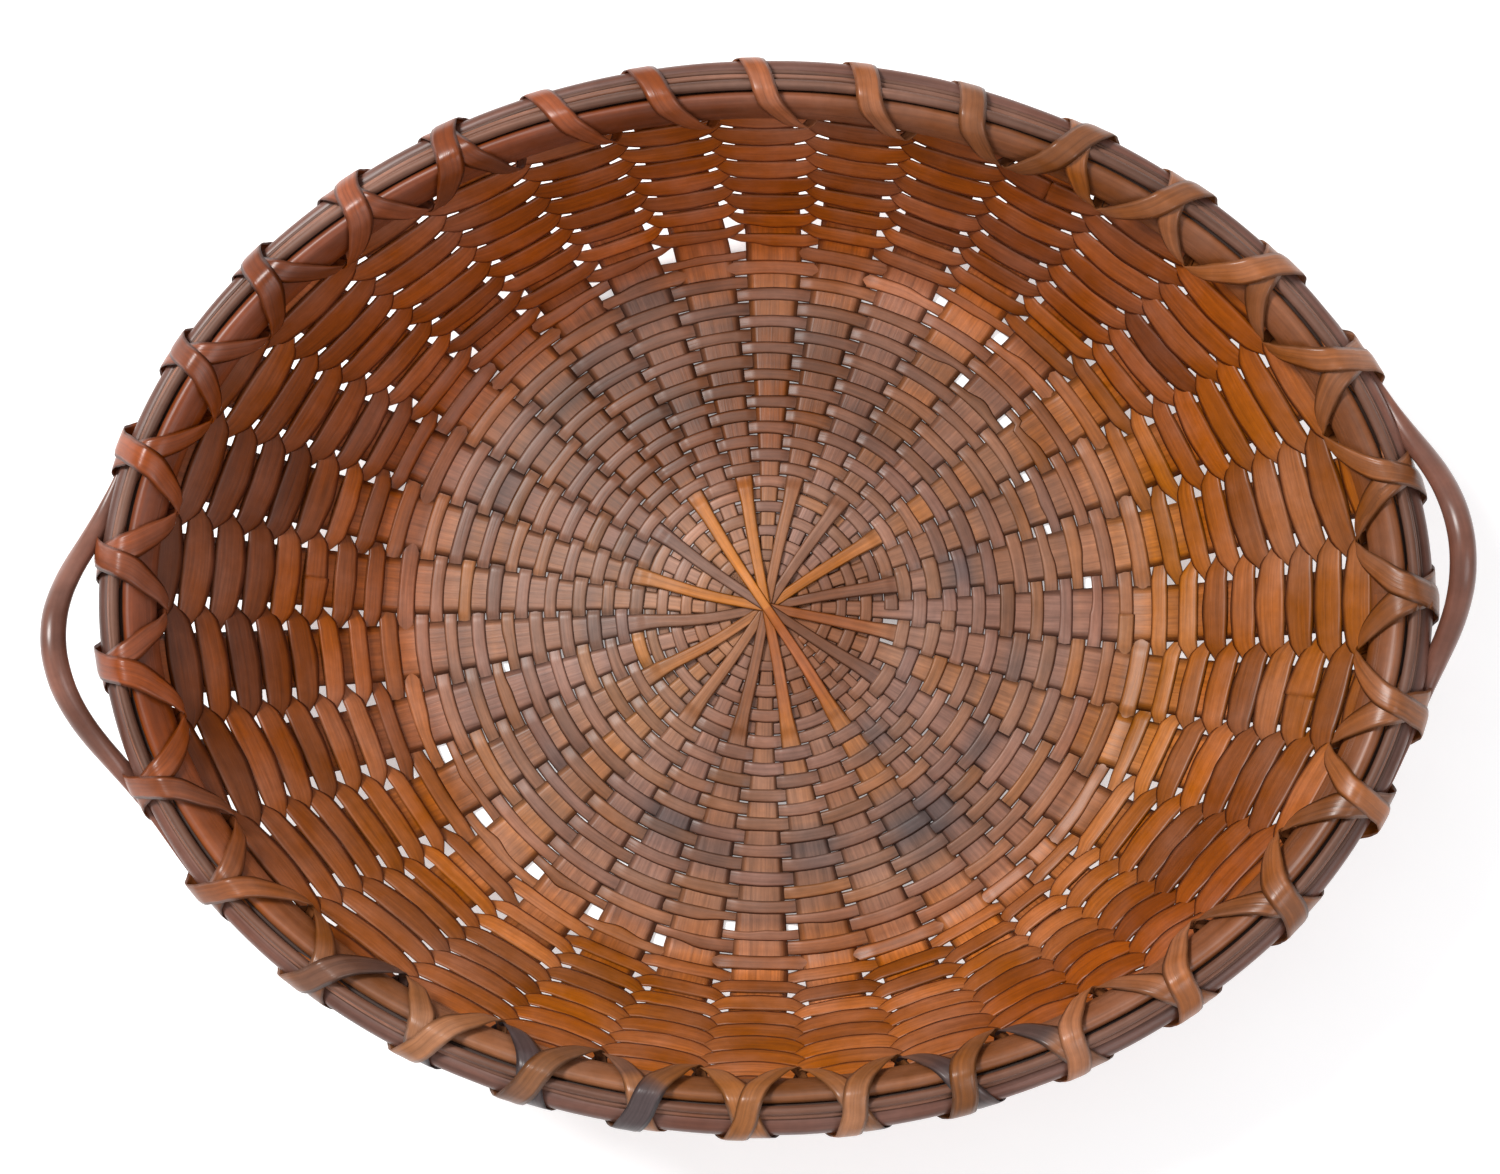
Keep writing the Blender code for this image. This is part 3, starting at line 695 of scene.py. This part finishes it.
def rod(parts, angles, centre, half, colour, sides, power=1.0, closed=True):
    """A rod along the rim. centre and half are millimetres across and up; power under 1 squares its section."""
    centre_n, centre_t, half_n, half_t = (size + 0 * angles for size in (*centre, *half))
    turn = 2 * math.pi * np.arange(sides) / sides
    c, s = np.cos(turn), np.sin(turn)
    c, s = np.sign(c) * np.abs(c) ** power, np.sign(s) * np.abs(s) ** power
    n = centre_n[:, None] + half_n[:, None] * c[None]
    t = centre_t[:, None] + half_t[:, None] * s[None]
    rings = rim(np.broadcast_to(angles[:, None], n.shape), n, t)
    u = distances(rings.mean(1))
    v = turn[None] * half_n.mean() * MM
    uv = np.stack(np.broadcast_arrays(u[:, None], v), -1)
    tint = colour[:, None, :] * np.ones((1, sides, 1))
    parts.tube(rings, uv, tint, closed)


RIM_SAMPLES, SEAM_SAMPLES = 720, 40
AROUND = np.arange(RIM_SAMPLES) * 2 * math.pi / RIM_SAMPLES
INNER_TONE = np.array((0.175, 0.056, 0.019))
OUTER_TONE = np.array((0.125, 0.050, 0.034))
FILLER_TONE = np.array((0.130, 0.055, 0.033))


def wander(seed, period):
    """Smooth noise round the rim that fades out where its ends meet."""
    i = np.arange(RIM_SAMPLES)
    fade = smooth(i, 0, SEAM_SAMPLES) * (1 - smooth(i, RIM_SAMPLES - SEAM_SAMPLES, RIM_SAMPLES))
    return value_noise(RIM_SAMPLES, period, seed) * fade


def tone_line(base, seed, amount):
    """A colour that varies round the rim."""
    return base[None, :] * (1 + amount * wander(seed, 30))[:, None]


def lit_and_shaded_rim(colour, angle):
    """Painted shade at the far left of the rim, away from the light, darker and redder; painted light along its
    near side, paler and greyer.
    """
    dark = smooth(np.cos(angle - math.radians(150)), 0.1, 0.8)[:, None]
    pale = smooth(np.cos(angle - math.radians(250)), 0.4, 0.95)[:, None]
    colour = colour * (1 + (np.array((0.85, 0.55, 0.36)) - 1) * dark)
    return colour * (1 + (np.array((1.08, 1.28, 1.6)) - 1) * pale)


def far_side(angle):
    """1 along the far side of the rim and 0 along its near side."""
    return smooth(np.sin(angle), -0.1, 0.75)


def stand_off(angle):
    """How far the outer hoop stands off the splints, in millimetres."""
    return 4.2 + 1.9 * np.sin(angle) + 1.2 * np.cos(angle) ** 2


def outer_radius(angle):
    """The outer hoop's radius, in millimetres."""
    return 6.2 - 1.3 * far_side(angle)


parts = Parts()
# painted light and shade round the inner hoop
rod(parts, AROUND, (4.9 + 0.3 * wander(1, 60), -9.2 + 0.4 * wander(2, 60)), (4.3, 9.6 + 0.4 * wander(3, 50)),
    lit_and_shaded_rim(tone_line(INNER_TONE, 4, 0.35), AROUND), sides=20, power=0.8)
parts.done("inner_hoop.wood", HOOP_WOOD, ["inner_hoop"])

parts = Parts()
radius = outer_radius(AROUND) + 0.3 * wander(6, 40)
rod(parts, AROUND, (-stand_off(AROUND) - radius, -2.9 + 0.6 * wander(7, 60)), (radius, radius * 1.02),
    tone_line(OUTER_TONE, 8, 0.35), sides=16)
parts.done("outer_hoop.wood", HOOP_WOOD, ["outer_hoop"])

parts = Parts()
rod(parts, AROUND, (0.6 + 0.7 * wander(9, 50), 2.9 + 0.7 * wander(10, 50)),
    (2.7 - 0.4 * (1 - far_side(AROUND)), 2.6), tone_line(FILLER_TONE, 11, 0.35), sides=12)
parts.done("wide_filler_rod.wood", FILLER_WOOD, ["wide_filler_rod"])

# Two thin rods side by side, over a very dark one, painted shade, that closes the space between the hoops
parts = Parts()
rod(parts, AROUND, (-2.4 - 0.25 * stand_off(AROUND) + 0.7 * wander(12, 40), 1.8 + 0.8 * wander(13, 40)),
    (1.6 + 0.3 * wander(14, 40), 1.5), tone_line(FILLER_TONE * 1.5, 15, 0.4), sides=10)
rod(parts, AROUND, (-2.6 - 0.75 * stand_off(AROUND) + 0.7 * wander(16, 40), 1.2 + 0.9 * wander(17, 40)),
    (1.3, 1.2), tone_line(FILLER_TONE * 0.8, 18, 0.4), sides=10)
# painted shade: a very dark rod where the space between the hoops lies in shadow
rod(parts, AROUND, (-0.6 - 0.5 * stand_off(AROUND), -2.6), (2.4 + 0.5 * stand_off(AROUND), 2.2),
    tone_line(FILLER_TONE * 0.3, 19, 0.3), sides=10)
parts.done("thin_filler_rod.wood", FILLER_WOOD, ["thin_filler_rod"])

# Lashing

# Share of the way from hole to hole, then millimetres: place across and up the wall, and width
LASHING_PATH = np.array((
    (0.00, 6.5, -22.5, 5.5), (0.13, 10.6, -18.5, 8.0), (0.28, 11.0, -9.0, 11.5), (0.39, 9.9, -0.5, 13.0),
    (0.45, 5.5, 4.9, 13.0), (0.50, -3.0, 5.9, 13.0), (0.55, -11.5, 5.0, 13.0), (0.60, -17.8, 1.2, 13.0),
    (0.66, -19.6, -4.6, 12.0), (0.76, -16.5, -10.6, 10.0), (0.88, -8.0, -17.5, 8.0), (1.00, 3.0, -23.0, 5.5)))
LASHING_TONE = np.array((0.215, 0.070, 0.021))
BLACKENED = np.array((0.03, 0.028, 0.03))
RIM_MIDDLE = (-2.5, -7.5)       # middle of the rim's section, millimetres across and up
PATH_REACH = 19.0               # millimetres from the splints to the path's outer side
TAIL_DEPTH = 4.3                # room that a handle's tail needs under the lashing, in millimetres
LAYER_OUT, LAYER_UP = 1.3, 1.1  # how far the second strip lies over the first, in millimetres
LASHING, LASHING_CROWN = 0.7 * MM, 0.45 * MM
# Degrees round the rim where the handles' tails lie
TAIL_REACH = ((14.5, 29.0), (-22.0, -7.5), (194.5, 209.0), (158.0, 172.5))


def catmull(keys, samples):
    """A smooth curve through rows of numbers, evenly sampled between them."""
    padded = np.concatenate((keys[:1] * 2 - keys[1:2], keys, keys[-1:] * 2 - keys[-2:-1]))
    out = []
    t = np.linspace(0, 1, samples, endpoint=False)[:, None]
    for a, b, c, d in zip(padded, padded[1:], padded[2:], padded[3:]):
        out.append(0.5 * (2 * b + (c - a) * t + (2 * a - 5 * b + 4 * c - d) * t ** 2
                          + (3 * b - a - 3 * c + d) * t ** 3))
    return np.concatenate(out)


def lashing_strip(name, way, layer, holes, seed):
    """A strip that winds round both hoops between the splints, over a list of holes in order.

    way is 1 or -1 for its direction round the rim. Layer 1 lies over layer 0.
    """
    keys = []
    shake = np.random.default_rng(seed)
    for hole in holes:
        j = shake.uniform(-1, 1, 4)
        for i, (share, n, t, width) in enumerate(LASHING_PATH[:-1]):
            top = 1.0 if 1 < i < 10 else 0.0
            spread = 0.03 * j[0] * top
            out = 0.5 * (n < -8)
            keys.append((hole + share + spread, n + (LAYER_OUT * layer - out) * (1 if n > 0 else -1),
                         t + (LAYER_UP * layer if t > 0 else 0), width * (1 + 0.12 * j[1])))
    line = catmull(np.array(keys), 7)
    base = way * line[:, 0] * STEP + 0.5 * STEP
    angle = warp(base, np.full(len(base), RIM_ROW))
    degrees = in_degrees(angle)
    room = np.zeros(len(angle))
    for start, end in TAIL_REACH:
        away = apart(degrees, (start + end) / 2)
        room = np.maximum(room, smooth(-np.abs(away), -(end - start) / 2 - 1.5, -(end - start) / 2 + 1.5))
    n = line[:, 1] - TAIL_DEPTH * room * smooth(-line[:, 1], 6, 12)
    reach = (stand_off(angle) + 2 * outer_radius(angle) + 0.9) / PATH_REACH
    n = n * (1 + (reach - 1) * smooth(-line[:, 1], 0, 8))
    centre = rim(angle, n, line[:, 2])
    tangent = unit(np.gradient(centre, axis=0))
    inside = [np.full(len(n), size) for size in RIM_MIDDLE]
    middle = rim(angle, *inside)
    outward = centre - middle
    around = unit(rim(angle + 0.01, *inside) - middle)
    outward = unit(outward - (outward * around).sum(1, keepdims=True) * around)
    side = unit(around - (around * tangent).sum(1, keepdims=True) * tangent)
    width = line[:, 3:4] * MM
    colour = LASHING_TONE[None] * (1 + 0.5 * value_noise(len(n), 60, seed + 3))[:, None]
    dark = smooth(value_noise(len(n), 40, seed + 9), 0.1, 0.35) * smooth(-np.sin(angle), 0.5, 0.85)
    # painted light and shade round the rim, as on the inner hoop
    colour = lit_and_shaded_rim(colour + (BLACKENED - colour) * (0.8 * dark)[:, None], angle)
    parts = Parts()
    parts.strip(centre - side * width / 2, centre + side * width / 2, outward, LASHING, LASHING_CROWN,
                across_tint(colour, 0.3), v0=0.02 * seed)
    parts.done(name + ".wood", LASHING_WOOD, [name])


lashing_strip("lashing_strip_1", 1, 0, range(0, 33), 21)
lashing_strip("lashing_strip_2", -1, 1, range(-5, 22), 41)

# Handles

HANDLE_MIDDLE = 3.55            # degrees round the rim
# Degrees from the handle's middle, millimetres outwards and up from the rim's line, half width and half height
HANDLE_KEYS = np.array((
    (0.0, 26.0, 19.4, 6.4, 6.3), (1.6, 25.8, 18.4, 6.4, 6.3), (3.2, 25.3, 15.2, 6.4, 6.3),
    (4.8, 24.3, 9.8, 6.3, 6.2), (6.4, 22.8, 3.0, 6.2, 6.2), (8.0, 20.7, -4.0, 6.0, 6.2),
    (9.6, 18.2, -10.0, 5.5, 6.2), (11.2, 15.8, -14.3, 4.8, 6.2), (12.8, 13.7, -17.0, 4.0, 6.2),
    (15.0, 11.6, -18.5, 3.0, 6.0), (18.0, 10.2, -18.9, 2.2, 5.6), (22.0, 9.8, -18.9, 1.8, 5.0),
    (26.0, 9.4, -18.6, 1.4, 4.2), (28.0, 9.0, -18.4, 0.8, 2.6)))
HANDLE_TONE = np.array((0.165, 0.064, 0.042))


def make_handle(turned, reach, name, seed):
    """An ear handle, turned some degrees round the rim, whose bow stands out reach millimetres further."""
    keys = HANDLE_KEYS.copy()
    bow = np.cos(np.radians(np.clip(keys[:, 0] * 6, 0, 90)))
    out, up = keys[:, 1] + reach * bow, keys[:, 2].copy()
    slope = math.radians(RIM_SLOPE[0])
    keys[:, 1] = up * math.cos(slope) - out * math.sin(slope)
    keys[:, 2] = out * math.cos(slope) + up * math.sin(slope)
    mirrored = keys[:0:-1] * np.array((-1, 1, 1, 1, 1))
    line = catmull(np.concatenate((mirrored, keys)), 8)
    angle = np.radians(turned + HANDLE_MIDDLE + line[:, 0])
    wobble = value_noise(len(line), 30, seed)
    colour = HANDLE_TONE[None] * (1 + 0.3 * value_noise(len(line), 20, seed + 2))[:, None]
    parts = Parts()
    rod(parts, angle, (line[:, 1] + 0.4 * wobble, line[:, 2]), (line[:, 3], line[:, 4]), colour, sides=20,
        closed=False)
    parts.done(name + ".wood", HANDLE_WOOD, [name])


make_handle(0.0, -3.5, "right_handle", 61)
make_handle(181.4, 2.0, "left_handle", 71)

# Floor, light and camera


def plain(name, colour, roughness):
    mat = bpy.data.materials.new(name)
    mat.use_nodes = True
    shader = mat.node_tree.nodes["Principled BSDF"]
    shader.inputs["Base Color"].default_value = (*colour, 1)
    shader.inputs["Roughness"].default_value = roughness
    return mat


FLOOR_HALF = 4.0
floor_mesh = bpy.data.meshes.new("floor")
corners = [(x * FLOOR_HALF, y * FLOOR_HALF, 0) for x, y in ((-1, -1), (1, -1), (1, 1), (-1, 1))]
floor_mesh.from_pydata(corners, [], [(0, 1, 2, 3)])
pale = plain("pale_floor", (0.86, 0.86, 0.87), 0.9)
glow = pale.node_tree.nodes["Principled BSDF"]
glow.inputs["Emission Color"].default_value = (1, 1, 1, 1)
glow.inputs["Emission Strength"].default_value = 0.35
floor_mesh.materials.append(pale)
floor = bpy.data.objects.new("floor", floor_mesh)
bpy.context.scene.collection.objects.link(floor)


def area_light(name, place_at, size, power, colour):
    """A round soft light that points at the basket's middle."""
    data = bpy.data.lights.new(name, "AREA")
    data.shape = "DISK"
    data.size = size
    data.energy = power
    data.color = colour
    light = bpy.data.objects.new(name, data)
    bpy.context.scene.collection.objects.link(light)
    aim = (-Vector(place_at)).to_track_quat("-Z", "Y")
    light.matrix_world = Matrix.Translation(place_at) @ aim.to_matrix().to_4x4()


world = bpy.data.worlds.new("studio")
bpy.context.scene.world = world
bpy.context.scene.view_settings.view_transform = "Standard"
world.use_nodes = True
world.node_tree.nodes["Background"].inputs["Color"].default_value = (1.0, 1.0, 1.0, 1)
world.node_tree.nodes["Background"].inputs["Strength"].default_value = 0.62
area_light("key", (-1.1, 0.8, 1.9), 0.7, 50, (1.0, 0.99, 0.97))
area_light("fill", (1.2, -1.0, 1.8), 1.2, 12, (0.95, 0.97, 1.0))

SENSOR, LENS = 36.0, 55.8288        # millimetres
CAMERA_PLACE = (0.0577, -0.0828, 1.3000)
TILT_X, TILT_Y = 4.17, 2.97         # degrees away from straight down
camera_data = bpy.data.cameras.new("camera")
camera_data.sensor_width = SENSOR
camera_data.lens = LENS
camera_data.clip_start = 0.05
camera = bpy.data.objects.new("camera", camera_data)
bpy.context.scene.collection.objects.link(camera)
camera.matrix_world = (Matrix.Translation(CAMERA_PLACE)
                       @ Matrix.Rotation(math.radians(TILT_Y), 4, "Y")
                       @ Matrix.Rotation(math.radians(TILT_X), 4, "X"))
bpy.context.scene.camera = camera
